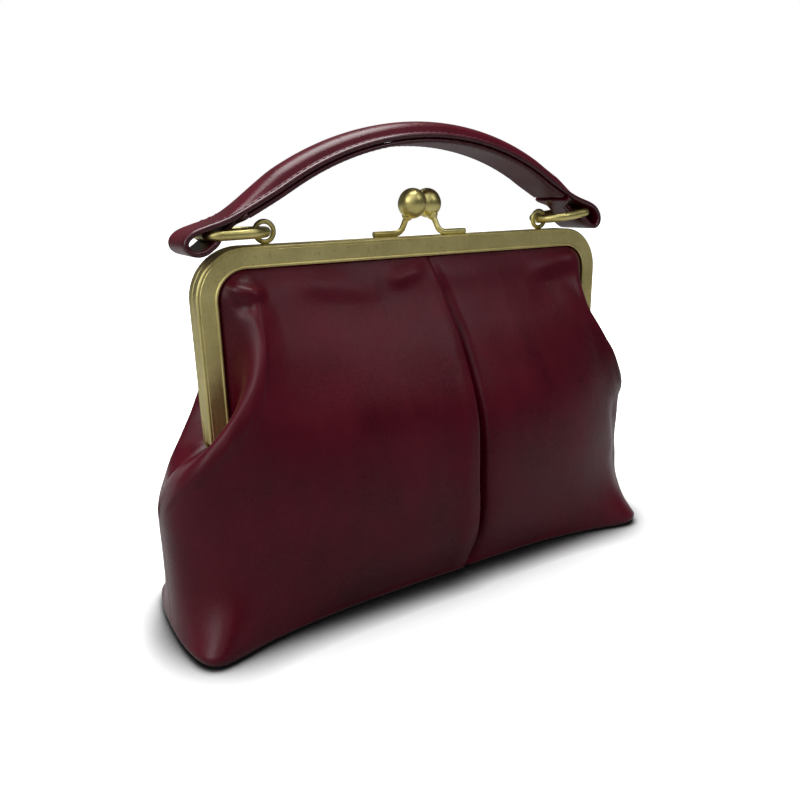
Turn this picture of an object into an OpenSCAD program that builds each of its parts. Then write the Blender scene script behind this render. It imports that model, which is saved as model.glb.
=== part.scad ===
// Kiss lock frame purse: a hinged brass frame, a leather pouch with a lining
// and a stiff base, and a padded top handle on two D-rings.
// X runs along the frame, -Y is the front, Z is up, and the base rests on Z = 0.

/* [Frame] */
// Outside width of the closed frame
frame_w = 205; // [195:0.5:215]
// Height of the frame's top edge above the table
frame_top = 154.4; // [150:0.2:160]
// Drop from the top edge to the hinge axis
leg_drop = 82; // [78:0.5:85]
// Depth of each frame half, front to back
half_t = 5.4; // [5:0.1:6]
// Height of the flat face that shows
face_h = 8.4; // [8:0.1:9]
// Sheet thickness of the channel
wall = 0.8; // [0.7:0.05:0.9]
// Outside radius of the top corners
corner_r = 20.5; // [18:0.5:23]
// Opening angle of each half
open_half = 34; // [30:1:34]

/* [Clasp] */
// Diameter of each ball
ball_d = 12.1; // [11.5:0.1:12.1]
// Straight length between the two domes of a ball
ball_long = 0.7; // [0.2:0.1:1]
// Sideways distance of a ball centre from the middle
ball_x = 6.2; // [6.2:0.05:6.6]
// Distance of a ball centre past the middle plane
ball_y = 3.6; // [3:0.1:4]
// Height of the ball centres above the frame
ball_z = 13.9; // [13:0.1:15]
// Diameter of the rods
rod_d = 2.7; // [2.4:0.1:3]
// Sideways position of the outer rod ends
rod_end = 22; // [20:0.5:25]

/* [Handle] */
// Sideways distance of the lugs from the middle
lug_x = 71; // [68:0.5:74]
// Radius of the handle's crown
crown_r = 133; // [130:0.5:136]
// Height of the crown above the table
crown_top = 201.6; // [199:0.2:203]
// Width of the padded strap
strap_w = 17; // [15:0.5:18]
// Width of the strap where it folds round a ring
fold_w = 20; // [18:0.5:21]
// Thickness of the folded strap
strap_t = 2.2; // [1.8:0.1:2.4]
// Turn of the whole handle on the bag in degrees
handle_turn = 0.5; // [0:0.1:0.7]
// Thickness of the ring wire
ring_wire = 4; // [3.6:0.1:4]
// Reach of a ring from the lug to its straight bar
ring_reach = 24.3; // [24:0.1:24.5]

/* [Pouch] */
// Length of the pouch at its widest
pouch_l = 247; // [240:1:252]
// Depth of the pouch at its widest
pouch_d = 76; // [70:1:80]
// Thickness of the leather
leather_t = 1.2; // [1:0.1:1.4]
// Thickness of the lining
lining_t = 0.5; // [0.4:0.05:0.6]
// Thickness of the stiff base board
board_t = 1.8; // [1.5:0.1:2.4]

/* [Hidden] */
$fn = 48;
far = 400;
gap = 0.05;

half_w = frame_w / 2;
hinge_z = frame_top - leg_drop;
leg_end = 6.5;
leg_len = leg_drop - corner_r - leg_end;
half_mid = half_t / 2;

ear_r = 4.2;
ear_gap = 0.12;
rivet_r = 1.5;

rod_r = rod_d / 2;
rod_z = frame_top + rod_r;
bend_x = 8.6;
bend_r = 3.2;
butt = 0.2;
collar_r = 2.35;
collar_h = 1.6;
ball_r = ball_d / 2;

lug_r = 3.9;
lug_wire = 1.95;
lug_z = frame_top + lug_r + lug_wire / 2 - 0.1;
ring_half = 10;
ring_corner = 4.5;
ring_tilt_left = -1;
ring_tilt_right = 6.5;

arch_z = crown_top - crown_r;
arch_end = 38;
lining_band = 1.6;
dome_h = 5.6;
flange_t = 1.6;
flange_r = crown_r - dome_h;
fold_x = 98;
fold_z = 159.3;
fold_r = 4.4;
fold_slope = 16;
fold_run = 23.5;
tail_low = 20;
tail_high = 48;
tail_flat = 3.5;
tail_bend = 3;
tail_run = 15.5;
neck_w = 2 * (ring_half - ring_wire / 2 - 0.8);

// Half angle of the wedge that opens with the frame, and the overlap at its edge
split = open_half + 19;
split_gap = 0.8;
tuck_in = 3.8;

// Stations up the pouch: height, share of the length, share of the depth, squareness
stations = [
    [0, 0.965, 0.69, 6.5],
    [5, 1.000, 0.72, 6.5],
    [16, 1.000, 0.78, 5.0],
    [30, 1.000, 0.885, 3.7],
    [54, 1.000, 1.00, 2.8],
    [68, 0.978, 0.98, 2.6],
    [80, 0.922, 0.92, 2.6],
    [92, 0.856, 0.82, 2.6],
    [104, 0.798, 0.69, 2.7],
    [116, 0.764, 0.53, 2.9],
    [128, 0.756, 0.37, 3.1],
    [138, 0.755, 0.23, 3.4],
    [145.6, 0.755, 0.13, 4.0]
];
ring_pts = 48;

function power(v, p) = v < 0 ? -pow(-v, p) : pow(v, p);
function tucked(z) = lookup(z, [[48, 0], [70, tuck_in], [200, tuck_in]]);

// The corners of the base stand out past its hollow front and back
function flare(z) = lookup(z, [[0, 16], [5, 18], [16, 15], [30, 6], [54, 0]]);

function pouch_ring(s, inset) =
    let (a = pouch_l / 2 * s[1] - inset, b = pouch_d / 2 * s[2] - inset)
    [for (k = [0:ring_pts - 1]) let (
        t = 360 * k / ring_pts,
        run = power(cos(t), 2 / s[3]),
        deep = b + flare(s[0]) * pow(run, 4)
    ) [a * run, deep * power(sin(t), 2 / s[3]), s[0]]];

// Strips from front to back that close a ring, which may be hollow on its long sides
function strips(first) =
    [for (k = [0:ring_pts / 2 - 1]) let (
        near = (ring_pts - k) % ring_pts,
        next = ring_pts - k - 1,
        corners = k == 0 ? [0, 1, next] : next == k + 1 ? [k, k + 1, near] : [k, k + 1, next, near]
    ) [for (c = corners) first + c]];

// Closed form through the stations from one height to another
module pouch_form(low, high, inset, tuck = false) {
    rows = [for (s = stations) if (s[0] >= low && s[0] <= high) s];
    rings = [for (s = rows) pouch_ring(s, inset + (tuck ? tucked(s[0]) : 0))];
    n = len(rings);
    points = [for (r = rings, p = r) p];
    sides = [for (i = [0:n - 2], k = [0:ring_pts - 1]) let (j = (k + 1) % ring_pts)
        each k < ring_pts / 2 ? [
            [i * ring_pts + k, (i + 1) * ring_pts + k, (i + 1) * ring_pts + j],
            [i * ring_pts + k, (i + 1) * ring_pts + j, i * ring_pts + j]
        ] : [
            [i * ring_pts + k, (i + 1) * ring_pts + k, i * ring_pts + j],
            [(i + 1) * ring_pts + k, (i + 1) * ring_pts + j, i * ring_pts + j]
        ]];
    roof = [for (f = strips((n - 1) * ring_pts)) [for (i = [len(f) - 1:-1:0]) f[i]]];
    polyhedron(points, concat(sides, strips(0), roof), 4);
}

// Wedge about the hinge axis, open upward
module hinge_wedge(angle, spread) {
    rise = 90;
    translate([-far / 2, 0, hinge_z])
        rotate([90, 0, 90])
            linear_extrude(far)
                polygon([
                    [-spread, 0], [spread, 0],
                    [spread + rise * tan(angle), rise], [-spread - rise * tan(angle), rise]
                ]);
}

// Everything on the front side of a plane at the given depth
module front_side(depth = 0) {
    translate([-far / 2, -far - depth, -far / 2]) cube(far);
}

// Turns the flat frame layout, with its depth toward +Z, into the front half
module as_front() {
    rotate([90, 0, 0]) children();
}

module as_rear() {
    mirror([0, 1, 0]) as_front() children();
}

// Sweeps a profile round the frame: x is the radius at the corners, y the depth
module along_frame(run = leg_len) {
    translate([0, frame_top - corner_r, 0]) {
        translate([corner_r - half_w, 0, 0])
            rotate([90, 0, 90]) linear_extrude(frame_w - 2 * corner_r) children();
        for (side = [0, 1])
            mirror([side, 0, 0])
                translate([half_w - corner_r, 0, 0]) {
                    rotate_extrude(angle = 90) children();
                    rotate([90, 0, 0]) linear_extrude(run) children();
                }
    }
}

// Channel section with a rolled front edge, a line scribed near the outer edge
// and eased corners
module channel_profile() {
    r = corner_r;
    round_out = 0.9;
    round_in = 0.5;
    lip_r = 0.65;
    scribe = 0.18;
    back_h = face_h - 1.9;
    lip_x = r - face_h + lip_r;
    lip_y = half_t - wall + lip_r;
    polygon(concat(
        [[lip_x, half_t - wall], [r - wall, half_t - wall], [r - wall, gap + wall],
         [r - back_h, gap + wall], [r - back_h, gap]],
        [for (a = [-90:22.5:0]) [r - round_in + round_in * cos(a), gap + round_in + round_in * sin(a)]],
        [for (a = [0:22.5:90]) [r - round_out + round_out * cos(a), half_t - round_out + round_out * sin(a)]],
        [[r - 1.1, half_t - scribe], [r - 1.4, half_t - scribe], [r - 1.6, half_t]],
        [for (a = [15:30:255]) [lip_x + lip_r * cos(a), lip_y + lip_r * sin(a)]]
    ));
}

// Flat ear that carries the hinge rivet, seen along X with its neck up one half
module ear(bore_r) {
    difference() {
        union() {
            circle(ear_r);
            polygon([[-1.2, 4], [-ear_r, 0.4], [0, 0], [half_t - wall, leg_end - 1],
                     [half_t - wall - gap, leg_end + 9], [0.9, leg_end + 9], [0.9, 4]]);
        }
        circle(bore_r);
    }
}

module frame_half(inset, bore_r) {
    as_front() along_frame() channel_profile();
    for (side = [0, 1])
        mirror([side, 0, 0])
            translate([half_w - inset - wall, 0, hinge_z])
                rotate([90, 0, 90])
                    linear_extrude(wall) mirror([1, 0]) ear(bore_r);
    // A tongue of the ear is spot welded to the inside of the outer web
    for (side = [0, 1])
        mirror([side, 0, 0])
            translate([half_w - inset - wall, -half_t + wall, hinge_z + leg_end + 2])
                cube([inset + wall / 2, half_t - 2 * wall, 5]);
}

module front_frame() {
    color("darkkhaki") frame_half(wall + ear_gap, rivet_r + 0.06);
}

module rear_frame() {
    color("darkkhaki") mirror([0, 1, 0]) frame_half(0, rivet_r + 0.02);
}

// Rivets through both ears, with a domed head outside and a spread end inside
module hinge_rivets() {
    head_h = 0.9;
    stack = 2 * wall + 2 * ear_gap;
    color("darkkhaki")
        for (side = [0, 1])
            mirror([side, 0, 0])
                translate([half_w, 0, hinge_z])
                    rotate([0, 90, 0]) {
                        translate([0, 0, -stack]) cylinder(h = stack + 0.2, r = rivet_r);
                        cylinder(h = head_h, r1 = 2.9, r2 = 1.9);
                        translate([0, 0, -stack - 0.7]) cylinder(h = 0.7, r1 = 1.9, r2 = 2.3);
                    }
}

// Lean of a stem out of the frame's plane and in its own plane
post_y = ball_y + half_mid;
post_z = frame_top + ball_z - rod_z;
post_lean = atan(post_y / post_z);
post_rise = norm([post_y, post_z]);
post_tilt = atan((bend_x - ball_x) / post_rise);
post_len = norm([bend_x - ball_x, post_rise]);
bend_turn = 90 - post_tilt;
bend_run = bend_r * tan(bend_turn / 2);

// Places a thing on the post's axis, with the ball's centre at the given height
module on_post(height) {
    translate([bend_x, -half_mid, rod_z])
        rotate([-post_lean, 0, 0])
            rotate([0, -post_tilt, 0])
                translate([0, 0, post_len + height]) children();
}

// Rod soldered on top of a half, bent up to a post that crosses the middle. The
// straight lengths are a hair thinner than the bend and reach a little into it.
module stem() {
    thin = rod_r - 0.03;
    start_x = bend_x + bend_run;
    translate([start_x - butt, -half_mid, rod_z])
        rotate([0, 90, 0]) cylinder(h = rod_end - start_x + butt, r = thin);
    translate([start_x + 0.3, -half_mid - 0.8, frame_top])
        cube([rod_end - start_x - 0.6, 1.6, rod_r]);
    translate([0, -half_mid, rod_z])
        rotate([-post_lean, 0, 0])
            translate([start_x, 0, bend_r])
                rotate([90, 0, 0])
                    rotate_extrude(angle = bend_turn, start = -90 - bend_turn)
                        translate([bend_r, 0]) circle(rod_r);
    on_post(bend_run - butt - post_len) cylinder(h = post_len - bend_run + butt - 2.6, r = thin);
}

ball_flat = sqrt(ball_r * ball_r - collar_r * collar_r) + ball_long / 2;

// Flared cup under a ball
module collar() {
    difference() {
        on_post(-ball_flat - collar_h) {
            cylinder(h = collar_h - 0.5, r1 = rod_r + 0.25, r2 = collar_r);
            translate([0, 0, collar_h - 0.5]) cylinder(h = 0.5, r = collar_r);
        }
        on_post(-ball_flat - collar_h - 1) cylinder(h = collar_h + 2, r = rod_r + 0.02);
    }
}

module ball() {
    difference() {
        on_post(0) {
            translate([0, 0, ball_long / 2]) sphere(ball_r);
            translate([0, 0, -ball_long / 2]) cylinder(h = ball_long, r = ball_r);
            translate([0, 0, -ball_long / 2]) sphere(ball_r);
        }
        on_post(-ball_flat - ball_d) cylinder(h = ball_d, r = ball_r);
        on_post(-ball_flat - 1) cylinder(h = ball_flat - 1.2, r = rod_r + 0.02);
    }
}

// The stem on the front half carries the ball that sits behind, and the other way round
module front_stem() {
    color("olive") stem();
}

module rear_stem() {
    color("olive") rotate([0, 0, 180]) stem();
}

module front_collar() {
    color("khaki") rotate([0, 0, 180]) collar();
}

module rear_collar() {
    color("khaki") collar();
}

module front_ball() {
    color("gold") rotate([0, 0, 180]) ball();
}

module rear_ball() {
    color("gold") ball();
}

// Wire ring standing on the rear half, flattened where it is soldered
module lug(x) {
    difference() {
        translate([x, half_mid, lug_z])
            rotate([90, 0, 0])
                rotate_extrude() translate([lug_r, 0]) circle(lug_wire / 2);
        translate([-far / 2, -far / 2, frame_top - far]) cube(far);
    }
}

module left_lug() {
    color("darkkhaki") lug(-lug_x);
}

module right_lug() {
    color("darkkhaki") lug(lug_x);
}

// D-ring in the XY plane: its round end at the origin, its bar at the reach
module d_ring() {
    wire = ring_wire / 2;
    straight = ring_reach - ring_corner - ring_half;
    translate([ring_half, 0, 0])
        rotate_extrude(angle = 180, start = 90) translate([ring_half, 0]) circle(wire);
    for (side = [-1, 1]) {
        translate([ring_half, side * ring_half, 0])
            rotate([0, 90, 0]) cylinder(h = straight, r = wire);
        translate([ring_half + straight, side * (ring_half - ring_corner), 0])
            rotate_extrude(angle = 90, start = side > 0 ? 0 : -90)
                translate([ring_corner, 0]) circle(wire);
    }
    translate([ring_reach, ring_corner - ring_half, 0])
        rotate([-90, 0, 0]) cylinder(h = 2 * (ring_half - ring_corner), r = wire);
}

module left_d_ring() {
    color("khaki")
        translate([-lug_x, half_mid, lug_z])
            mirror([1, 0, 0]) rotate([0, -ring_tilt_left, 0]) d_ring();
}

module right_d_ring() {
    color("khaki")
        translate([lug_x, half_mid, lug_z]) rotate([0, -ring_tilt_right, 0]) d_ring();
}

// Places the handle, which is laid out about the middle of its arch
module on_bag() {
    translate([0, half_mid, arch_z]) rotate([0, -handle_turn, 0]) children();
}

// Sweeps a profile along the arch: x is the radius, y the side
module along_arch(reach) {
    rotate([90, 0, 0]) rotate_extrude(angle = 2 * reach, start = 90 - reach) children();
}

// Upper half of a rounded cover over the padding
module dome(half, low, rise) {
    polygon(concat(
        [[low - 0.01, -half]],
        [for (t = [-90:15:90]) [low + rise * cos(t), half * sin(t)]],
        [[low - 0.01, half]]
    ));
}

function turn_on(r, a) = [r * cos(a), r * sin(a)];

// Middle line of the strap's end, from the arch round the fold and back as a tail
fold_arc = [for (i = [0:12]) turn_on(fold_r, 90 - fold_slope - i * (180 - fold_slope + tail_low) / 12)];
run_start = fold_arc[0] + fold_run * [-cos(fold_slope), sin(fold_slope)];
flat_end = fold_arc[12] + tail_flat * [-cos(tail_low), sin(tail_low)];
bend_mid = flat_end + tail_bend * [sin(tail_low), cos(tail_low)];
tail_arc = [for (i = [1:4]) let (a = tail_low + i * (tail_high - tail_low) / 4)
    bend_mid - tail_bend * [sin(a), cos(a)]];
tail_end = tail_arc[3] + tail_run * [-cos(tail_high), sin(tail_high)];
loop_line = concat([run_start], fold_arc, [flat_end]);
neck_line = concat([fold_arc[12], flat_end], tail_arc, [tail_end]);

// Strip of even thickness along a line of points
module strip(line, t) {
    n = len(line);
    sides = [for (i = [0:n - 1]) let (
        d = line[min(i + 1, n - 1)] - line[max(i - 1, 0)],
        m = [-d[1], d[0]] / norm(d) * t / 2) [line[i] + m, line[i] - m]];
    polygon(concat([for (q = sides) q[0]], [for (i = [n - 1:-1:0]) sides[i][1]]));
}

// The tail narrows to a neck that passes up through the ring
module strap_end() {
    for (part = [[loop_line, fold_w], [neck_line, neck_w]])
        translate([fold_x, part[1] / 2, fold_z - arch_z])
            rotate([90, 0, 0]) linear_extrude(part[1]) strip(part[0], strap_t);
}

module handle_strap() {
    dome_half = strap_w / 2 - 2;
    color("maroon")
        on_bag() {
            along_arch(arch_end) {
                translate([flange_r - flange_t, -strap_w / 2]) square([flange_t, strap_w]);
                difference() {
                    dome(dome_half, flange_r - flange_t, dome_h + flange_t);
                    dome(dome_half - flange_t, flange_r - flange_t, dome_h);
                }
            }
            for (side = [0, 1])
                mirror([side, 0, 0]) strap_end();
        }
}

module handle_core() {
    color("gainsboro")
        on_bag()
            along_arch(arch_end - 1.5)
                intersection() {
                    dome(strap_w / 2 - 2 - flange_t - gap, flange_r - flange_t, dome_h - gap);
                    translate([flange_r + gap, -strap_w]) square(2 * strap_w);
                }
}

module handle_lining() {
    color("brown")
        on_bag()
            along_arch(arch_end - 2)
                translate([flange_r - flange_t - lining_band - gap, -strap_w / 2 + 0.2])
                    square([lining_band, strap_w - 0.4]);
}

// Twisted paper cord that wedges the leather into the channel
module paper_cord() {
    along_frame(leg_len - 10) translate([corner_r - 2.6, 2.1]) circle(1.15);
}

module front_paper_cord() {
    color("tan") as_front() paper_cord();
}

module rear_paper_cord() {
    color("tan") as_rear() paper_cord();
}

// Upper leather of one side, laid out for the front: the strip held in the
// channel and the panel that swells out below it
module leather_top() {
    intersection() {
        union() {
            as_front()
                along_frame(leg_len - 10)
                    translate([corner_r - face_h - 1.2, half_t - wall - leather_t - gap])
                        square([face_h - 0.4, leather_t]);
            difference() {
                pouch_form(68, 146, 0);
                pouch_form(54, 200, leather_t);
                as_front()
                    along_frame(leg_drop)
                        translate([corner_r - face_h - 0.3, -far / 4])
                            square([far / 8, far / 4 + half_t + 0.5]);
            }
        }
        hinge_wedge(split, 0);
        front_side(half_t - wall - leather_t - gap);
    }
}

module front_leather_top() {
    color("darkred") leather_top();
}

module rear_leather_top() {
    color("darkred") mirror([0, 1, 0]) leather_top();
}

// Lower leather of one side, tucked in behind the upper leather where they meet
module leather_bottom() {
    intersection() {
        difference() {
            pouch_form(0, 104, 0, true);
            pouch_form(0, 116, leather_t, true);
            hinge_wedge(split + split_gap, 1.6);
        }
        front_side(gap);
    }
}

module front_leather_bottom() {
    color("maroon") leather_bottom();
}

module rear_leather_bottom() {
    color("maroon") mirror([0, 1, 0]) leather_bottom();
}

// Upper lining of one side, against the inner face of the leather
module lining_top() {
    intersection() {
        difference() {
            pouch_form(68, 138, leather_t + 0.02);
            pouch_form(54, 200, leather_t + lining_t);
            as_front()
                along_frame(leg_drop)
                    translate([corner_r - face_h - 1.6, -far / 4])
                        square([far / 8, far / 4 + half_t + 0.5]);
        }
        hinge_wedge(split, -2.6);
        front_side(half_t + 0.5);
    }
}

module front_lining_top() {
    color("wheat") lining_top();
}

module rear_lining_top() {
    color("wheat") mirror([0, 1, 0]) lining_top();
}

module pouch_lining() {
    low = leather_t + board_t;
    color("wheat")
        difference() {
            pouch_form(0, 92, leather_t + 0.02, true);
            intersection() {
                pouch_form(0, 104, leather_t + lining_t, true);
                translate([-far / 2, -far / 2, low + lining_t]) cube(far);
            }
            translate([-far / 2, -far / 2, low - far]) cube(far);
            hinge_wedge(split + split_gap, 2.4);
        }
}

module base_leather() {
    color("maroon")
        intersection() {
            pouch_form(0, 16, leather_t + gap);
            translate([-far / 2, -far / 2, 0]) cube([far, far, leather_t]);
        }
}

module base_board() {
    color("gray")
        intersection() {
            pouch_form(0, 16, leather_t + lining_t + 1.5);
            translate([-far / 2, -far / 2, leather_t]) cube([far, far, board_t]);
        }
}

front_frame();
rear_frame();
hinge_rivets();
front_stem();
rear_stem();
front_collar();
rear_collar();
front_ball();
rear_ball();
left_lug();
right_lug();
left_d_ring();
right_d_ring();
handle_strap();
handle_lining();
handle_core();
front_paper_cord();
rear_paper_cord();
front_leather_top();
rear_leather_top();
front_leather_bottom();
rear_leather_bottom();
front_lining_top();
rear_lining_top();
pouch_lining();
base_leather();
base_board();
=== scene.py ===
import math
import bmesh
import bpy
import numpy as np
from mathutils import Matrix, Vector


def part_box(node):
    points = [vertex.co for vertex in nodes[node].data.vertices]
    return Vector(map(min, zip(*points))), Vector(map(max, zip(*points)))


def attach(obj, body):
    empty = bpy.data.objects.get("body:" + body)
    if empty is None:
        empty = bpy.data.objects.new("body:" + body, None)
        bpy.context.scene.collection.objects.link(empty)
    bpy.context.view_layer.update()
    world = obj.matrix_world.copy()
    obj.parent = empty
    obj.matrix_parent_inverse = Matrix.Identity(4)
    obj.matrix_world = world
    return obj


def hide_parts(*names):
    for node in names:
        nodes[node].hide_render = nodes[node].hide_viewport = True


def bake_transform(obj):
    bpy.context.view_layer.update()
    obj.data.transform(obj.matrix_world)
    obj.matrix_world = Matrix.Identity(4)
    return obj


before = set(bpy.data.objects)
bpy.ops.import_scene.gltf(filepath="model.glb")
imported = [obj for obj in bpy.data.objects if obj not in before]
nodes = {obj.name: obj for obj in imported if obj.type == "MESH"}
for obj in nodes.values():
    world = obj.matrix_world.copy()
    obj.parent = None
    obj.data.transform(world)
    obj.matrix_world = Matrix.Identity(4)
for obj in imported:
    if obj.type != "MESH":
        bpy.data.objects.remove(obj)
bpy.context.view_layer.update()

# camera

view = {
    "place": (-0.171125, -0.265278, 0.171225),  # metres
    "turn": 30.91,      # degrees to the left of the front
    "down": 16.252,
    "roll": -1.275,
    "lens": 31.413,
    "sensor": 36,
    "nearest": 0.01,
}


def addCamera(v):
    a, t, r = (math.radians(v[k]) for k in ("turn", "down", "roll"))
    ahead = Vector((math.sin(a) * math.cos(t), math.cos(a) * math.cos(t), -math.sin(t)))
    level = Vector((math.cos(a), -math.sin(a), 0))
    upright = level.cross(ahead)
    side = level * math.cos(r) + upright * math.sin(r)
    up = upright * math.cos(r) - level * math.sin(r)
    cam = bpy.data.objects.new("photoCamera", bpy.data.cameras.new("photoCamera"))
    bpy.context.scene.collection.objects.link(cam)
    cam.data.lens = v["lens"]
    cam.data.sensor_width = v["sensor"]
    cam.data.clip_start = v["nearest"]
    pose = Matrix((side, up, -ahead)).transposed().to_4x4()
    pose.translation = Vector(v["place"])
    cam.matrix_world = pose
    bpy.context.scene.camera = cam


addCamera(view)
print("camera placed")

# node helpers


def newMaterial(name):
    mat = bpy.data.materials.new(name)
    mat.use_nodes = True
    tree = mat.node_tree
    return mat, tree, tree.nodes["Principled BSDF"]


def addNode(tree, kind, inputs=None, **settings):
    # inputs are sockets to link or values to set
    n = tree.nodes.new(kind)
    for key, value in settings.items():
        setattr(n, key, value)
    for key, value in (inputs or {}).items():
        if isinstance(value, bpy.types.NodeSocket):
            tree.links.new(value, n.inputs[key])
        else:
            n.inputs[key].default_value = value
    return n


def mathNode(tree, how, a, b):
    return addNode(tree, "ShaderNodeMath", {0: a, 1: b}, operation=how).outputs[0]


def mixColours(tree, amount, a, b):
    return addNode(tree, "ShaderNodeMix", {0: amount, 6: a, 7: b}, data_type="RGBA").outputs[2]


def mixValues(tree, amount, a, b):
    return addNode(tree, "ShaderNodeMix", {0: amount, 2: a, 3: b}, data_type="FLOAT").outputs[0]


def remap(tree, value, low, high, outLow, outHigh):
    ends = {"From Min": low, "From Max": high, "To Min": outLow, "To Max": outHigh}
    return addNode(tree, "ShaderNodeMapRange", {"Value": value, **ends}).outputs[0]


def noise(tree, at, scale, **more):
    inputs = {"Vector": at, "Scale": scale, **more}
    return addNode(tree, "ShaderNodeTexNoise", inputs).outputs["Fac"]


def objectPoint(tree):
    return addNode(tree, "ShaderNodeTexCoord").outputs["Object"]


def addBump(tree, shader, height, strength, distance):
    inputs = {"Strength": strength, "Distance": distance, "Height": height}
    tree.links.new(addNode(tree, "ShaderNodeBump", inputs).outputs[0], shader.inputs["Normal"])


def newGroup(name, inputs, outputs):
    group = bpy.data.node_groups.new(name, "ShaderNodeTree")
    for label, value in inputs:
        s = group.interface.new_socket(label, in_out="INPUT", socket_type="NodeSocketFloat")
        s.default_value = value
    for label in outputs:
        group.interface.new_socket(label, in_out="OUTPUT", socket_type="NodeSocketFloat")
    return group, group.nodes.new("NodeGroupInput"), group.nodes.new("NodeGroupOutput")


def fillGroup(group, gout, results):
    for label, out in results.items():
        group.links.new(out, gout.inputs[label])
    return group


def placeGroup(tree, group, values):
    n = tree.nodes.new("ShaderNodeGroup")
    n.node_tree = group
    for key, value in values.items():
        n.inputs[key].default_value = value
    return n.outputs


def linear(r, g, b):
    # a screen colour of 0 to 255 as linear light
    def one(c):
        c /= 255
        return c / 12.92 if c <= 0.04045 else ((c + 0.055) / 1.055) ** 2.4
    return (one(r), one(g), one(b), 1)


# shared effects


def makeHideGroup():
    # pores, soft clouding and pull marks of smooth leather
    g, gin, gout = newGroup("hideSurface", [("Pore Scale", 1500), ("Cloud Scale", 28), ("Pull", 1.0)],
                            ["Pores", "Clouds", "Marks", "Height"])
    at = objectPoint(g)
    cells = addNode(g, "ShaderNodeTexVoronoi", {"Vector": at, "Scale": gin.outputs["Pore Scale"]},
                    feature="DISTANCE_TO_EDGE").outputs["Distance"]
    pores = remap(g, cells, 0.0, 0.16, 0.0, 1.0)
    clouds = noise(g, at, gin.outputs["Cloud Scale"], Detail=5.0, Roughness=0.6, Distortion=0.3)
    upright = addNode(g, "ShaderNodeMapping", {"Vector": at, "Scale": (1.0, 1.0, 0.35)},
                      vector_type="POINT").outputs[0]
    pull = noise(g, upright, 95.0, Detail=4.0, Roughness=0.55, Distortion=0.4)
    fine = noise(g, at, 700.0, Detail=3.0)
    height = mathNode(g, "ADD", mathNode(g, "MULTIPLY", pores, 0.10), mathNode(g, "MULTIPLY", fine, 0.25))
    pulled = mathNode(g, "MULTIPLY", pull, gin.outputs["Pull"])
    height = mathNode(g, "ADD", height, mathNode(g, "MULTIPLY", pulled, 1.1))
    return fillGroup(g, gout, {
        "Pores": pores,
        "Clouds": remap(g, clouds, 0.3, 0.7, 0.0, 1.0),
        "Marks": remap(g, pull, 0.42, 0.75, 0.0, 1.0),
        "Height": height,
    })


def makeBrushGroup():
    # fine lines of a brushed sheet and the clouds and specks of aged brass
    g, gin, gout = newGroup("brushedAge",
                            [("Line X", 40), ("Line Y", 900), ("Line Z", 900), ("Cloud Scale", 60)],
                            ["Lines", "Clouds", "Specks", "Height"])
    at = objectPoint(g)
    sizes = {axis: gin.outputs["Line " + axis] for axis in "XYZ"}
    size = addNode(g, "ShaderNodeCombineXYZ", sizes).outputs[0]
    stretched = addNode(g, "ShaderNodeVectorMath", {0: at, 1: size}, operation="MULTIPLY").outputs[0]
    lines = noise(g, stretched, 1.0, Detail=4.0, Roughness=0.65)
    clouds = noise(g, at, gin.outputs["Cloud Scale"], Detail=5.0, Roughness=0.6)
    specks = noise(g, at, 800.0, Detail=3.0)
    return fillGroup(g, gout, {
        "Lines": remap(g, lines, 0.3, 0.7, 0.0, 1.0),
        "Clouds": remap(g, clouds, 0.35, 0.65, 0.0, 1.0),
        "Specks": remap(g, specks, 0.6, 0.75, 0.0, 1.0),
        "Height": lines,
    })


hideSurface = makeHideGroup()
brushedAge = makeBrushGroup()

# leather

leatherLook = {
    "pores": 1500, "clouds": 26, "pull": 1.0,
    "dark": linear(66, 2, 17), "light": linear(86, 4, 27), "rubbed": linear(104, 16, 38), "worn": 0.2,
    "rough": 0.29, "bump": 0.28, "bumpHeight": 0.0006, "specular": 0.2, "coat": 0.04, "coatRough": 0.28,
}


def makeLeather(name, v):
    mat, tree, shader = newMaterial(name)
    hide = placeGroup(tree, hideSurface,
                      {"Pore Scale": v["pores"], "Cloud Scale": v["clouds"], "Pull": v["pull"]})
    base = mixColours(tree, hide["Clouds"], v["dark"], v["light"])
    worn = mixColours(tree, mathNode(tree, "MULTIPLY", hide["Marks"], v["worn"]), base, v["rubbed"])
    rough = remap(tree, hide["Clouds"], 0.0, 1.0, v["rough"] - 0.05, v["rough"] + 0.07)
    tree.links.new(worn, shader.inputs["Base Color"])
    tree.links.new(rough, shader.inputs["Roughness"])
    addBump(tree, shader, hide["Height"], v["bump"], v["bumpHeight"])
    shader.inputs["Specular IOR Level"].default_value = v["specular"]
    shader.inputs["Coat Weight"].default_value = v["coat"]
    shader.inputs["Coat Roughness"].default_value = v["coatRough"]
    return mat


leather = makeLeather("wineLeather", leatherLook)
strapLeather = makeLeather("strapLeather", dict(leatherLook, pull=0.5, rough=0.28, coat=0.08, bump=0.22))
strapUnder = makeLeather("strapUnder", dict(leatherLook, pull=0.8, rough=0.42, coat=0.0, specular=0.12,
                                            bump=0.35))

# brass

brassLook = {
    "lines": (900, 900, 60), "clouds": 55,
    "dark": linear(190, 177, 114), "light": linear(218, 205, 140),
    "lineTone": linear(226, 214, 156), "lineShade": 0.4,
    "tarnish": linear(132, 120, 80), "speckShade": 0.35,
    "rough": 0.42, "bump": 0.25, "bumpHeight": 0.0003,
}
turnedLook = dict(brassLook, lines=(260, 260, 260), lineShade=0.25, rough=0.34, bump=0.05,
                  dark=linear(188, 176, 108), light=linear(222, 210, 138))


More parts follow.
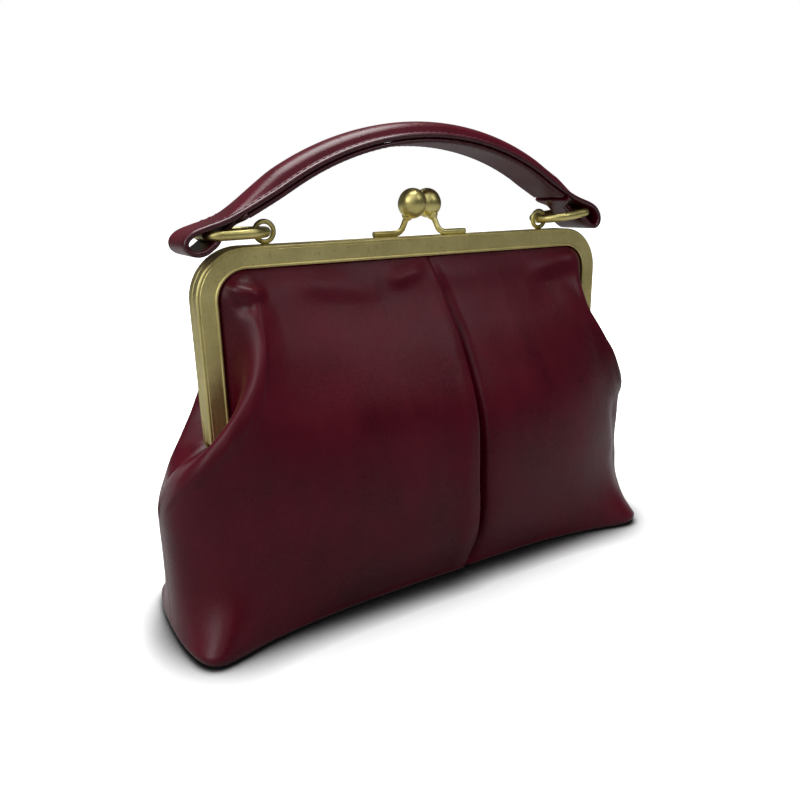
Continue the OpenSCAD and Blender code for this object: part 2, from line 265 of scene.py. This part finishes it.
def makeBrass(name, v):
    mat, tree, shader = newMaterial(name)
    lineX, lineY, lineZ = v["lines"]
    age = placeGroup(tree, brushedAge,
                     {"Line X": lineX, "Line Y": lineY, "Line Z": lineZ, "Cloud Scale": v["clouds"]})
    base = mixColours(tree, age["Clouds"], v["dark"], v["light"])
    lined = mixColours(tree, mathNode(tree, "MULTIPLY", age["Lines"], v["lineShade"]), base, v["lineTone"])
    speckShade = mathNode(tree, "MULTIPLY", age["Specks"], v["speckShade"])
    specked = mixColours(tree, speckShade, lined, v["tarnish"])
    rough = remap(tree, age["Lines"], 0.0, 1.0, v["rough"] - 0.06, v["rough"] + 0.1)
    tree.links.new(specked, shader.inputs["Base Color"])
    tree.links.new(rough, shader.inputs["Roughness"])
    addBump(tree, shader, age["Height"], v["bump"], v["bumpHeight"])
    shader.inputs["Metallic"].default_value = 1.0
    return mat


frameBrass = makeBrass("frameBrass", brassLook)
turnedBrass = makeBrass("turnedBrass", turnedLook)

# thread, edge paint, paper, board and lining

plainLooks = {
    "edgePaint": {"a": linear(58, 8, 22), "b": linear(74, 13, 30), "rough": 0.28, "scale": 300, "bump": 0.15},
    "stitchThread": {"a": linear(70, 16, 32), "b": linear(104, 40, 54), "rough": 0.55, "scale": 1800,
                     "bump": 0.3},
    "twistedPaper": {"a": linear(186, 160, 118), "b": linear(150, 124, 86), "rough": 0.8, "scale": 500,
                     "bump": 0.3},
    "greyBoard": {"a": linear(120, 114, 106), "b": linear(140, 134, 124), "rough": 0.9, "scale": 400,
                  "bump": 0.3},
}
clothLook = {
    "a": linear(66, 34, 30), "b": linear(104, 64, 56), "threads": 420.0, "wander": 0.6,
    "rough": 0.85, "sheen": 0.2, "bump": 0.5, "bumpHeight": 0.0004,
}


def makePlain(name, v):
    # two close tones in small spots
    mat, tree, shader = newMaterial(name)
    spots = noise(tree, objectPoint(tree), v["scale"], Detail=4.0)
    rough = remap(tree, spots, 0.3, 0.7, v["rough"] - 0.08, v["rough"] + 0.08)
    tree.links.new(mixColours(tree, spots, v["a"], v["b"]), shader.inputs["Base Color"])
    tree.links.new(rough, shader.inputs["Roughness"])
    addBump(tree, shader, spots, v["bump"], 0.0005)
    return mat


def makeCloth(name, v):
    # plain weave: two crossed sets of threads
    mat, tree, shader = newMaterial(name)
    thread = {"Vector": objectPoint(tree), "Scale": v["threads"], "Distortion": v["wander"]}
    across = addNode(tree, "ShaderNodeTexWave", thread, bands_direction="X").outputs["Fac"]
    upward = addNode(tree, "ShaderNodeTexWave", thread, bands_direction="Z").outputs["Fac"]
    weave = mathNode(tree, "MULTIPLY", across, upward)
    tree.links.new(mixColours(tree, weave, v["a"], v["b"]), shader.inputs["Base Color"])
    addBump(tree, shader, weave, v["bump"], v["bumpHeight"])
    shader.inputs["Roughness"].default_value = v["rough"]
    shader.inputs["Sheen Weight"].default_value = v["sheen"]
    return mat


edgePaint, threadLook, paperLook, boardLook = (makePlain(name, look) for name, look in plainLooks.items())
liningLook = makeCloth("liningCloth", clothLook)
print("materials made")

# finishes of the solids that show

finishes = [
    (frameBrass, ["front_frame", "rear_frame"]),
    (turnedBrass, ["hinge_rivets", "front_stem", "rear_stem", "front_collar", "rear_collar", "front_ball",
                   "rear_ball", "left_lug", "right_lug", "left_d_ring", "right_d_ring"]),
    (paperLook, ["front_paper_cord", "rear_paper_cord"]),
    (boardLook, ["base_board"]),
]
for finish, names in finishes:
    for name in names:
        nodes[name].data.materials.clear()
        nodes[name].data.materials.append(finish)

# mesh helpers


def newPiece(name, verts, faces, mats):
    # a smooth mesh object, from points in millimetres
    mesh = bpy.data.meshes.new(name)
    mesh.from_pydata((np.asarray(verts).reshape(-1, 3) / 1000).tolist(), [], faces)
    for mat in mats:
        mesh.materials.append(mat)
    mesh.polygons.foreach_set("use_smooth", [True] * len(mesh.polygons))
    mesh.update()
    piece = bpy.data.objects.new(name, mesh)
    bpy.context.scene.collection.objects.link(piece)
    return piece


def gridFaces(rows, cols, closed=False, first=0):
    # quads between rows of points, closed into a tube or not
    faces = []
    for i in range(rows - 1):
        for j in range(cols if closed else cols - 1):
            k = (j + 1) % cols
            here, there = first + i * cols, first + (i + 1) * cols
            faces.append((here + j, here + k, there + k, there + j))
    return faces


def gridMesh(name, grid, mats, closed=False):
    rows, cols = grid.shape[:2]
    return newPiece(name, grid, gridFaces(rows, cols, closed), mats)


def smoothStep(x, a, b):
    t = np.clip((np.asarray(x, float) - a) / (b - a), 0, 1)
    return t * t * (3 - 2 * t)


def bell(x, width):
    return np.exp(-(x / width) ** 2)


def blendValues(a, b, share):
    return a * (1 - share) + b * share


def bezier(p0, p1, p2, p3, t):
    t = t[:, None]
    return (1 - t) ** 3 * p0 + 3 * (1 - t) ** 2 * t * p1 + 3 * (1 - t) * t ** 2 * p2 + t ** 3 * p3


def alongLengths(points):
    # distance of each point from the first, along the line
    return np.concatenate([[0], np.cumsum(np.linalg.norm(np.diff(points, axis=0), axis=1))])


def alongCurve(points, share):
    # points at shares of the length of a line
    points = np.asarray(points, float)
    steps = alongLengths(points)
    at = np.asarray(share) * steps[-1]
    return np.stack([np.interp(at, steps, points[:, k]) for k in range(points.shape[1])], -1)


def roundOff(points, times):
    # corner cutting keeps the ends and softens a line
    p = np.asarray(points, float)
    for _ in range(times):
        a, b = p[:-1], p[1:]
        cut = np.stack([0.75 * a + 0.25 * b, 0.25 * a + 0.75 * b], 1).reshape(-1, p.shape[1])
        p = np.concatenate([p[:1], cut, p[-1:]])
    return p


def softNoise(points, size, seed):
    # smooth values in about -1..1 from a few crossed waves
    rng = np.random.default_rng(seed)
    total = np.zeros(len(points))
    for _ in range(10):
        d = rng.normal(size=3)
        d /= np.linalg.norm(d)
        wave = 2 * math.pi / (size * rng.uniform(0.6, 1.6))
        total += np.sin(points @ d * wave + rng.uniform(0, 6.28))
    return total / 3.2


def gridNormals(grid):
    n = np.cross(np.gradient(grid, axis=0), np.gradient(grid, axis=1))
    return n / np.maximum(np.linalg.norm(n, axis=2, keepdims=True), 1e-9)


# leather pouch, in millimetres

frameHalf, _, frameTop = (round(v * 1000, 1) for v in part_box("front_frame")[1])
boardTop = round(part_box("base_board")[1].z * 1000, 1)

pouch = {
    "midZ": 50.0, "midHalf": (124.0, 119.0), "midDeep": 37.5, "midSquare": (2.7, 2.4), "footRound": 4.5,
    "rows": (20, 26, 26, 6),    # down to the knee, to half height, to the foot, and round the foot
    "columns": 260, "pleatColumns": 90, "pleatSpan": (-0.06, 0.16),
    "wrinkle": 0.4, "wrinkleSize": (46, 50), "seed": 11,
    "liningGap": 1.9, "liningInset": 0.68, "liningEdge": boardTop + 4.9, "liningFloor": boardTop + 4.2,
    # each fold: X and Z of one end, of the other end, width, height
    "folds": [
        (-90, 139.5, -79, 136.5, 2.0, 1.5), (-89, 133, -83, 133, 2.5, -1.5), (90, 142, 60, 136, 4.0, 0.9),
        (88, 134, 58, 128, 6.0, -0.9), (86, 118, 96, 96, 5.0, -0.7), (-60, 139, -30, 133, 5.0, 0.8),
        (-20, 137, -5, 141, 3.0, 0.9), (103, 66, 110, 40, 5.0, -1.6), (104, 40, 110, 22, 6.0, -1.0),
    ],
    # the front pleat: X, depth and width of the gap at each Z
    "pleatX": [(0, 6.0), (24, 5.7), (50, 4.3), (76, 6.1), (97, 6.8), (114, 6.6), (131, 4.2), (147, 0.4)],
    "pleatDepth": [(0, 0.4), (8, 3.2), (22, 7.0), (74, 7.2), (100, 4.4), (125, 2.0), (147, 0.4)],
    "pleatGap": [(0, 0.4), (18, 2.6), (55, 3.2), (88, 1.7), (120, 0.7), (147, 0.5)],
    # at each share of a half panel: distance along the channel, and the knee of the swell
    "share": [0, 0.25, 0.50, 0.60, 0.66, 0.72, 0.80, 0.87, 0.93, 0.97, 1.0],
    "channel": [0, 31, 62, 75, 86, 99, 120, 137, 150, 156, 162],
    "kneeLeft": [
        (0, -12.5, 129), (-31, -12.5, 129), (-62, -12.5, 130), (-74, -13.5, 130), (-80.5, -18, 124),
        (-83, -22.5, 114.5), (-90.5, -25, 101.5), (-100, -25.5, 91), (-110.5, -23.5, 79.5),
        (-120.5, -15, 68.5), (-123.6, 0, 58),
    ],
    "kneeRight": [
        (0, -12.5, 129), (31, -12.5, 129), (62, -12.5, 130), (74, -12.5, 130), (81, -14.5, 125),
        (85, -18, 116), (94, -22, 104), (101.5, -23.5, 93), (109.5, -22, 80), (117, -14, 69), (120.5, 0, 58),
    ],
    "kneeRear": [
        (0, -12.5, 129), (31, -12.5, 129), (62, -12.5, 130), (74, -13.5, 130), (81, -17, 125), (88, -19, 114),
        (95.5, -19.5, 102), (101, -19.5, 91), (107, -17.5, 79.5), (115, -12, 67), (121, 0, 58),
    ],
    # shares where the frame's leg is passed, where the side turns to the seam, and where the sides meet
    "legAt": (0.60, 0.74), "endAt": (0.88, 1.0), "meetAt": (0.965, 1.0),
    # the foot's outline, from the middle of the front to the seam
    "footLeft": [
        (0, -27.0), (-30, -26.8), (-62, -27.6), (-90, -30.5), (-108, -35.5), (-116, -36.6), (-121.5, -31),
        (-124.6, -16), (-125.2, 0),
    ],
    "footRight": [
        (0, -27.0), (30, -26.4), (60, -27.6), (86, -32), (102, -36.6), (109.5, -37.4), (115.5, -32),
        (120.0, -16), (121.0, 0),
    ],
}


def channelLine(side):
    # from the middle of the top edge along the frame's channel to the hinge
    half, top, r = frameHalf - 8.5, frameTop - 8.0, 12.2
    pts = [(0, -4.3, top), (half - r, -4.3, top)]
    for a in np.linspace(90, 0, 9)[1:]:
        a = math.radians(a)
        pts.append((half - r + r * math.cos(a), -4.3, top - r + r * math.sin(a)))
    pts += [(half, -4.3, 100), (half, -4.0, 86), (half + 2.0, -3.0, 79), (half + 7.0, -0.6, 75.0)]
    return np.array(pts) * [side, 1, 1]


def midLine(side, v, rear):
    # a squared half oval round the pouch at half height
    t = np.radians(np.linspace(90, 0, 60))
    c, s = np.cos(t), np.sin(t)
    half, square = v["midHalf"][side > 0], v["midSquare"][rear]
    x, y = side * half * c ** (2 / square), -v["midDeep"] * s ** (2 / square)
    return np.stack([x, y, np.full(len(t), v["midZ"])], 1)


def softTable(shares, values, at):
    # values at listed shares, read smoothly
    fine = np.linspace(-0.1, 1.1, 601)
    values = np.asarray(values, float).reshape(len(shares), -1)
    blur = np.exp(-np.linspace(-2, 2, 33) ** 2)
    blur /= blur.sum()
    out = []
    for column in values.T:
        startSlope = (column[1] - column[0]) / (shares[1] - shares[0])
        endSlope = (column[-1] - column[-2]) / (shares[-1] - shares[-2])
        before = column[0] + startSlope * np.minimum(fine, 0)
        after = endSlope * np.maximum(fine - 1, 0)
        line = np.where(fine < 0, before, np.interp(fine, shares, column) + after)
        out.append(np.interp(at, fine[16:-16], np.convolve(line, blur, "valid")))
    return np.stack(out, -1)


def kneePoint(side, s, v, rear):
    # where the leather turns from hanging off the frame to the swell of the pouch
    front = v["kneeLeft" if side < 0 else "kneeRight"]
    if not rear:
        return softTable(v["share"], front, s)
    knee = softTable(v["share"], v["kneeRear"], s) * [side, 1, 1]
    meet = abs(front[-1][0]) - v["kneeRear"][-1][0]
    return knee + [side * meet * smoothStep(s, *v["endAt"]), 0, 0]


def panelColumn(side, s, v, rear, foot):
    # one line of points from the frame's channel down to the floor
    above, belly, below, curled = v["rows"]
    along = softTable(v["share"], v["channel"], s)[0] / v["channel"][-1]
    top = alongCurve(channelLine(side), [min(along, 1)])[0]
    knee = kneePoint(side, s, v, rear)
    mid = alongCurve(midLine(side, v, rear), [s])[0]
    low = alongCurve(foot, [s])[0]
    leg = smoothStep(s, *v["legAt"])
    end = smoothStep(s, *v["endAt"])
    # at the legs the leather first runs in toward the middle and forward, then swells back out
    inward = 0.1 if rear else 0.72
    out = blendValues(np.array([0.0, -0.55, -0.83]), np.array([-side * inward, -0.69, 0.0]), leg)
    out = blendValues(out, np.array([side * 0.9, -0.35, 0.0]), end)
    slope = blendValues(np.array([0.0, -0.42, -0.91]), np.array([side * 0.16, -0.30, -0.94]), leg)
    slope = blendValues(slope, np.array([side * 0.35, 0.0, -0.94]), end)
    reach = np.linalg.norm(knee - top)
    upper = bezier(top, top + out * reach * 0.42, knee - slope * reach * 0.36, knee, np.linspace(0, 1, above))
    drop = knee[2] - mid[2]
    ahead = mid + np.array([0, 1.0 * (1 - s), max(drop * 0.42, 1.0)])
    middle = bezier(knee, knee + slope * drop * 0.36, ahead, mid, np.linspace(0, 1, belly + 1)[1:])
    r = v["footRound"]
    sole = np.array([low[0], low[1], r])
    swell = sole + (mid - sole) * [0.8, 0.55, 0] + np.array([0, 0, 13.0])
    lower = bezier(mid, mid + np.array([0, 0, -24.0]), swell, sole, np.linspace(0, 1, below + 1)[1:])
    under = np.array([-low[0] * 0.3, -low[1] * 2, 0.0])
    under /= max(np.linalg.norm(under), 1e-6)
    turns = np.linspace(0, math.pi / 2, curled + 1)[1:]
    curl = [sole + under * r * (1 - math.cos(t)) - np.array([0, 0, (r - 0.1) * math.sin(t)]) for t in turns]
    return np.concatenate([upper, middle, lower, curl])


def panelGrid(v, rear=False):
    # one side of the pouch with its face toward -Y: columns from the left seam to the right seam
    spread = np.linspace(-1, 1, v["columns"])
    near = np.linspace(*v["pleatSpan"], v["pleatColumns"])
    u = np.unique(np.round(np.concatenate([spread, near]), 5))
    feet = {-1: roundOff(v["footLeft"], 2), 1: roundOff(v["footRight"], 2)}
    columns = []
    for q in u:
        side = -1 if q < 0 else 1
        columns.append(panelColumn(side, abs(q), v, rear, feet[side]))
    grid = np.array(columns).transpose(1, 0, 2)
    # front and back meet on the middle plane
    grid[..., 1] *= 1 - smoothStep(np.abs(u), *v["meetAt"])
    return grid


def atHeight(grid, table):
    return np.interp(grid[..., 2], *zip(*table))


def addPleat(grid, v):
    # the left panel ends in a rolled edge that stands over the right panel
    depth, gap = atHeight(grid, v["pleatDepth"]), atHeight(grid, v["pleatGap"])
    d = grid[..., 0] - atHeight(grid, v["pleatX"])
    groove = np.where(d < 0, bell(d, 0.7), np.where(d < gap, 1, bell(d - gap, 2.8)))
    panel = bell(d + 4.5, 6.0) * 0.22 - np.where(d > 0, bell(d, 8.0), 0) * 0.25
    moved = grid + gridNormals(grid) * ((panel - groove) * depth)[..., None]
    moved[..., 0] += bell(d + 0.6, 1.3) * 0.32 * depth
    return moved


def fromChannel(grid):
    return np.linalg.norm(grid - grid[:1], axis=2)


def addFolds(grid, v):
    # soft folds and dents near the frame's corners
    shift = np.zeros(grid.shape[:2])
    for x0, z0, x1, z1, width, height in v["folds"]:
        run = np.array([x1 - x0, z1 - z0], float)
        length = np.linalg.norm(run)
        run /= length
        dx, dz = grid[..., 0] - x0, grid[..., 2] - z0
        along = (dx * run[0] + dz * run[1]) / length
        off = dz * run[0] - dx * run[1]
        ends = smoothStep(along, -0.25, 0.25) * (1 - smoothStep(along, 0.75, 1.25))
        shift += height * bell(off, width) * ends
    shift *= smoothStep(fromChannel(grid), 0.5, 6)
    return grid + gridNormals(grid) * shift[..., None]


def addWrinkles(grid, v, size, seed):
    calm = smoothStep(grid[..., 2], 3, 30) * (1 - smoothStep(np.abs(grid[..., 0]), 110, 122))
    calm *= smoothStep(fromChannel(grid), 0, 14)
    shift = softNoise(grid.reshape(-1, 3), size, seed).reshape(calm.shape) * v["wrinkle"] * calm
    return grid + gridNormals(grid) * shift[..., None]


def turned(grid):
    # a panel laid out for the front, turned to the back with its left seam kept on the left
    return grid[:, ::-1] * [1, -1, 1]


def ringOf(grid, gridRear, row):
    # one row of the front and of the back as a closed ring
    return np.concatenate([grid[row], gridRear[row, ::-1] * [1, -1, 1]])


def makeWalls(grid, gridRear, v):
    front = addPleat(addFolds(addWrinkles(grid, v, v["wrinkleSize"][0], v["seed"]), v), v)
    rear = turned(addWrinkles(gridRear, v, v["wrinkleSize"][1], v["seed"] + 5))
    # the lining keeps clear of the pleat
    beside = grid[..., 0] - atHeight(grid, v["pleatX"])
    behind = v["liningGap"] + 1.15 * atHeight(grid, v["pleatDepth"]) * bell(beside, 7)
    inner = (grid - gridNormals(grid) * behind[..., None])[::2, ::3]
    innerRear = turned((gridRear - gridNormals(gridRear) * v["liningGap"])[::2, ::3])
    skinFront = gridMesh("frontLeather", front[:, ::-1], [leather])
    skinRear = gridMesh("rearLeather", rear[:, ::-1], [leather])
    liningFront = gridMesh("frontLining", inner, [liningLook])
    liningRear = gridMesh("rearLining", innerRear, [liningLook])
    for piece, body, slot in (
        (skinFront, "front_half", "wine_leather"), (skinRear, "rear_half", "wine_leather"),
        (liningFront, "front_half", "lining_cloth"), (liningRear, "rear_half", "lining_cloth"),
    ):
        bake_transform(piece)
    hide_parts("front_leather_top", "front_leather_bottom")
    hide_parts("rear_leather_top", "rear_leather_bottom")
    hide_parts("front_lining_top", "pouch_lining")
    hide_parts("rear_lining_top")


def makeBase(grid, gridRear, v):
    # the leather under the board, and the lining over it
    ring = ringOf(grid, gridRear, -1)
    under = np.array([ring * [k, k, 1] for k in (1.0, 0.9, 0.6, 0.3, 0.02)])
    base = gridMesh("baseLeather", under, [leather], closed=True)
    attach(base, "pouch")
    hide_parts("base_leather")
    foot = ringOf(grid, gridRear, -1 - v["rows"][3])
    edge = foot + (ring - foot) * v["liningInset"]
    deck = [edge * [1, 1, 0] + [0, 0, v["liningEdge"]]]
    deck += [ring * [k, k, 0] + [0, 0, v["liningFloor"]] for k in (0.985, 0.8, 0.4, 0.02)]
    floorLining = gridMesh("floorLining", np.array(deck)[::-1, ::2], [liningLook], closed=True)
    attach(floorLining, "pouch")


frontGrid = panelGrid(pouch)
rearGrid = panelGrid(pouch, rear=True)
makeWalls(frontGrid, rearGrid, pouch)
makeBase(frontGrid, rearGrid, pouch)
print("pouch made")

# handle

strapLow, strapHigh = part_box("handle_strap")

handle = {
    "middleY": round((strapLow.y + strapHigh.y) * 500, 1), "archTop": round(strapHigh.z * 1000, 1),
    "archRadius": 133.0, "archHalfTurn": 32.5, "archPoints": 29,
    "turn": 0.5, "lean": 0.026, "leanEnds": (62, 88),
    "halfWidth": 11.2, "loopHalfWidth": 11.8, "neckHalfWidth": 7.0, "dome": 5.0, "domeInset": 2.6,
    "thick": 2.2, "topPoints": 40, "turnPoints": 5, "liningThick": 1.7, "liningGap": 0.25, "steps": 300,
    # in steps: where the arch's width starts and ends beside the loops, and where the neck does
    "archFrom": (-4, 34), "archTo": (-18, 4), "neck": (1, 5, 10, 17), "liningInset": 11, "lowStitchInset": 14,
    "stitchStep": 3.1, "stitchShare": 0.72, "stitchInset": 1.9,
    # X and Z of the left loop, from under the arch round the ring and back
    "loop": [
        (-79.5, 166.0), (-84.5, 162.4), (-88.6, 158.9), (-92.6, 155.3), (-97.0, 152.4), (-101.2, 152.2),
        (-104.4, 154.2), (-105.2, 156.9), (-104.2, 159.6), (-101.0, 161.9), (-95.5, 163.6), (-89.0, 165.4),
        (-82.5, 168.4),
    ],
    # the right loop is a little shorter, under a fuller shoulder
    "rightFrom": 97, "rightShare": 0.78, "rightLift": 0.6, "rightShoulder": (1.3, 1.9, 1.8, 1.0),
    # along a stitch: share of its length, radius, height of its middle
    "stitch": (
        (0.0, 0.06, -0.25), (0.18, 0.27, 0.02), (0.5, 0.30, 0.10), (0.82, 0.27, 0.02), (1.0, 0.06, -0.25),
    ),
}


def handlePath(v):
    # outer face of the strap without its dome, from the left neck to the right neck
    zc = v["archTop"] - v["archRadius"]
    r = v["archRadius"] - v["dome"]
    t = np.radians(np.linspace(-v["archHalfTurn"], v["archHalfTurn"], v["archPoints"]))
    arch = np.stack([r * np.sin(t), zc + r * np.cos(t)], 1)
    left = np.array(v["loop"])
    right = left[::-1] * [-1, 1] + [0, v["rightLift"]]
    shorter = v["rightFrom"] + (right[:, 0] - v["rightFrom"]) * v["rightShare"]
    right[:, 0] = np.minimum(right[:, 0], shorter)
    right[:len(v["rightShoulder"]), 1] += v["rightShoulder"]
    pts = np.concatenate([left, arch, right])
    a = math.radians(v["turn"])
    dz = pts[:, 1] - zc
    x = pts[:, 0] * math.cos(a) - dz * math.sin(a)
    z = zc + dz * math.cos(a) + pts[:, 0] * math.sin(a)
    # the arch leans a little to one side between the loops
    return np.stack([x, z + v["lean"] * x * (1 - smoothStep(np.abs(x), *v["leanEnds"]))], 1)


def strapSection(half, thick, dome, v):
    # closed outline across the strap: Y, and height above the strap's outer face
    edge = thick / 2
    y = np.linspace(-(half - edge), half - edge, v["topPoints"])
    crown = np.clip(1 - (np.abs(y) / (half - v["domeInset"])) ** 2.6, 0, 1) ** 0.55 * dome
    groove = -0.22 * bell(np.abs(y) - (half - v["stitchInset"]), 0.45)
    top = np.stack([y, crown + groove], 1)
    t = np.radians(np.linspace(60, -60, v["turnPoints"]))
    turn = np.stack([half - edge + edge * np.cos(t), -edge + edge * np.sin(t)], 1)
    under = np.stack([y[::-3], np.full(len(y[::3]), -thick)], 1)
    return np.concatenate([top, turn, under, turn[::-1] * [-1, 1]])


def sweepStrap(name, path, halfs, domes, thick, lift, v, mats):
    # a closed strap along the path, with the second material on its two painted edges
    tangent = np.gradient(path, axis=0)
    tangent /= np.linalg.norm(tangent, axis=1, keepdims=True)
    normal = np.stack([-tangent[:, 1], tangent[:, 0]], 1)
    rows = []
    for at, up, half, dome in zip(path, normal, halfs, domes):
        section = strapSection(half, thick, dome, v)
        out = section[:, 1] + lift
        rows.append(np.stack([at[0] + up[0] * out, v["middleY"] + section[:, 0], at[1] + up[1] * out], 1))
    piece = gridMesh(name, np.array(rows), mats, closed=True)
    steps, count = len(rows), len(rows[0])
    painted = np.zeros(count, int)
    painted[v["topPoints"] - 1:v["topPoints"] + v["turnPoints"]] = 1
    painted[-v["turnPoints"] - 1:] = 1
    mesh = piece.data
    mesh.polygons.foreach_set("material_index", np.tile(painted, steps - 1).tolist())
    # the two ends are closed
    bm = bmesh.new()
    bm.from_mesh(mesh)
    bm.verts.ensure_lookup_table()
    for end in (range(count)[::-1], range((steps - 1) * count, steps * count)):
        bm.faces.new([bm.verts[k] for k in end])
    bmesh.ops.recalc_face_normals(bm, faces=bm.faces)
    bm.to_mesh(mesh)
    bm.free()
    return piece, normal


def addStitches(name, path, normal, side, v, halfs, lift, picks):
    # short rounded stitches that lie along the strap
    verts, faces = [], []
    lengths = alongLengths(path)
    rings, sides = len(v["stitch"]), 6
    s = picks[0]
    while s < picks[1]:
        ends = []
        for at in (s, s + v["stitchStep"] * v["stitchShare"]):
            x, z, nx, nz, half = (np.interp(at, lengths, row) for row in (*path.T, *normal.T, halfs))
            y = v["middleY"] + side * (half - v["stitchInset"])
            ends.append((np.array([x, y, z]), np.array([nx, 0, nz])))
        (p, n), (q, _) = ends
        run = (q - p) / np.linalg.norm(q - p)
        across = np.cross(run, n)
        faces += gridFaces(rings, sides, closed=True, first=len(verts))
        for share, r, height in v["stitch"]:
            c = p + (q - p) * share + n * (lift + height)
            for k in range(sides):
                a = k * math.pi / 3
                verts.append(c + across * r * math.cos(a) + n * r * math.sin(a))
        s += v["stitchStep"]
    return newPiece(name, verts, faces, [threadLook])


def makeHandle(v):
    path = alongCurve(roundOff(handlePath(v), 3), np.linspace(0, 1, v["steps"]))
    index = np.arange(len(path))
    firstTop = int(np.argmax((index > 50) & (path[:, 0] > -100)))
    lastTop = len(path) - firstTop
    onArch = smoothStep(index - firstTop, *v["archFrom"])
    onArch = onArch * (1 - smoothStep(index - lastTop, *v["archTo"]))
    # the folded end is narrow only where it goes through the ring
    fromEnd = np.minimum(index, len(path) - 1 - index)
    neck = smoothStep(fromEnd, *v["neck"][:2]) * (1 - smoothStep(fromEnd, *v["neck"][2:]))
    halfs = v["loopHalfWidth"] + (v["halfWidth"] - v["loopHalfWidth"]) * onArch
    halfs = halfs + (v["neckHalfWidth"] - halfs) * neck
    domes = v["dome"] * onArch
    strap, normal = sweepStrap("handleStrap", path, halfs, domes, v["thick"], 0, v, [strapLeather, edgePaint])
    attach(strap, "handle")
    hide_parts("handle_strap", "handle_core")
    # the lining lies under the arch and stops before the loops
    keep = slice(firstTop + v["liningInset"], lastTop - v["liningInset"])
    under = v["thick"] + v["liningGap"]
    flat = domes[keep] * 0
    lining, _ = sweepStrap("handleLining", path[keep], halfs[keep] - 0.5, flat, v["liningThick"], -under, v,
                           [strapUnder, edgePaint])
    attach(lining, "handle")
    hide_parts("handle_lining")
    lengths = alongLengths(path)
    picks = (lengths[firstTop - 2], lengths[lastTop + 2])
    lowPicks = (lengths[firstTop + v["lowStitchInset"]], lengths[lastTop - v["lowStitchInset"]])
    lowLift = under + v["liningThick"] - 0.24
    for label, side in (("Front", -1), ("Rear", 1)):
        top = addStitches("topStitches" + label, path, normal, side, v, halfs, -0.1, picks)
        low = addStitches("liningStitches" + label, path, -normal, side, v, halfs, lowLift, lowPicks)
        for piece in (top, low):
            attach(piece, "handle")


makeHandle(handle)
print("handle made")

# floor and light

studio = {
    # the floor's tone to the camera, to other light, and in reflections
    "floor": (0.95, 0.95, 0.95, 1),
    "floorElsewhere": (0.14, 0.14, 0.14, 1),
    "floorInGloss": (0.36, 0.36, 0.36, 1),
    # the painted contact shadow on the floor: its near black colour, and how far the occlusion that spreads
    # it reaches
    "paintedShadowTone": (0.02, 0.02, 0.022, 1), "contact": 0.017, "fade": (0.15, 0.30), "floorHalf": 4000,
    # strength of the white surroundings: on the bag, and in reflections away from and toward the window
    "fill": 0.38, "around": 0.1, "glow": 1.3, "window": (-0.62, -0.25, 0.74),
    # name, place, aim, size, power
    "lamps": [
        ("overhead", (0.05, 0.22, 1.35), (0, 0, 0.05), 0.9, 24.0),
        ("frontBox", (0.75, -1.2, 1.25), (0, 0, 0.1), 0.7, 3.2),
        ("leftBox", (-1.4, -0.35, 0.75), (0, 0, 0.1), 0.8, 5.5),
    ],
}


def makeFloor(v):
    mat, tree, shader = newMaterial("paleFloor")
    path = addNode(tree, "ShaderNodeLightPath")
    toCamera = path.outputs["Is Camera Ray"]
    other = mixColours(tree, path.outputs["Is Glossy Ray"], v["floorElsewhere"], v["floorInGloss"])
    # a painted contact shadow: where ambient occlusion finds the bag close by, the floor's colour to the
    # camera darkens to a narrow near black line
    near = addNode(tree, "ShaderNodeAmbientOcclusion", {"Distance": v["contact"]}, samples=12).outputs["AO"]
    near = remap(tree, near, 0.45, 1.0, 0.0, 1.0)
    seenToneWithPaintedShadow = mixColours(tree, near, v["paintedShadowTone"], v["floor"])
    tree.links.new(mixColours(tree, toCamera, other, seenToneWithPaintedShadow), shader.inputs["Base Color"])
    shader.inputs["Roughness"].default_value = 0.9
    shader.inputs["Specular IOR Level"].default_value = 0.0
    # away from the bag the floor fades into the white behind it
    place = addNode(tree, "ShaderNodeTexCoord").outputs["Object"]
    away = addNode(tree, "ShaderNodeVectorMath", {0: place}, operation="LENGTH").outputs["Value"]
    fade = remap(tree, away, v["fade"][0], v["fade"][1], 0.0, 1.0)
    shader.inputs["Emission Color"].default_value = (1, 1, 1, 1)
    tree.links.new(mathNode(tree, "MULTIPLY", fade, toCamera), shader.inputs["Emission Strength"])
    h = v["floorHalf"]
    floor = newPiece("floor", [(-h, -h, 0), (h, -h, 0), (h, h, 0), (-h, h, 0)], [(0, 1, 2, 3)], [mat])


def makeWorld(v):
    world = bpy.data.worlds.new("studio")
    bpy.context.scene.world = world
    world.use_nodes = True
    tree = world.node_tree
    back = tree.nodes["Background"]
    back.inputs["Color"].default_value = (1, 1, 1, 1)
    path = addNode(tree, "ShaderNodeLightPath")
    at = addNode(tree, "ShaderNodeTexCoord").outputs["Generated"]
    toward = addNode(tree, "ShaderNodeVectorMath", {0: at, 1: v["window"]}, operation="DOT_PRODUCT")
    toward = toward.outputs["Value"]
    glow = remap(tree, toward, 0.55, 0.98, v["around"], v["glow"])
    seen = mathNode(tree, "MAXIMUM", path.outputs["Is Glossy Ray"], path.outputs["Is Transmission Ray"])
    level = mixValues(tree, seen, v["fill"], glow)
    # to the camera itself the surroundings are plain white
    level = mixValues(tree, path.outputs["Is Camera Ray"], level, 1.0)
    tree.links.new(level, back.inputs["Strength"])


def makeLamps(v):
    for name, place, aim, size, power in v["lamps"]:
        lamp = bpy.data.lights.new(name, "AREA")
        lamp.size = size
        lamp.energy = power
        lampObject = bpy.data.objects.new(name, lamp)
        bpy.context.scene.collection.objects.link(lampObject)
        lampObject.location = place
        lampObject.rotation_euler = (Vector(aim) - Vector(place)).to_track_quat("-Z", "Y").to_euler()


makeFloor(studio)
makeWorld(studio)
makeLamps(studio)
print("studio made")

bpy.context.scene.view_settings.view_transform = "Standard"
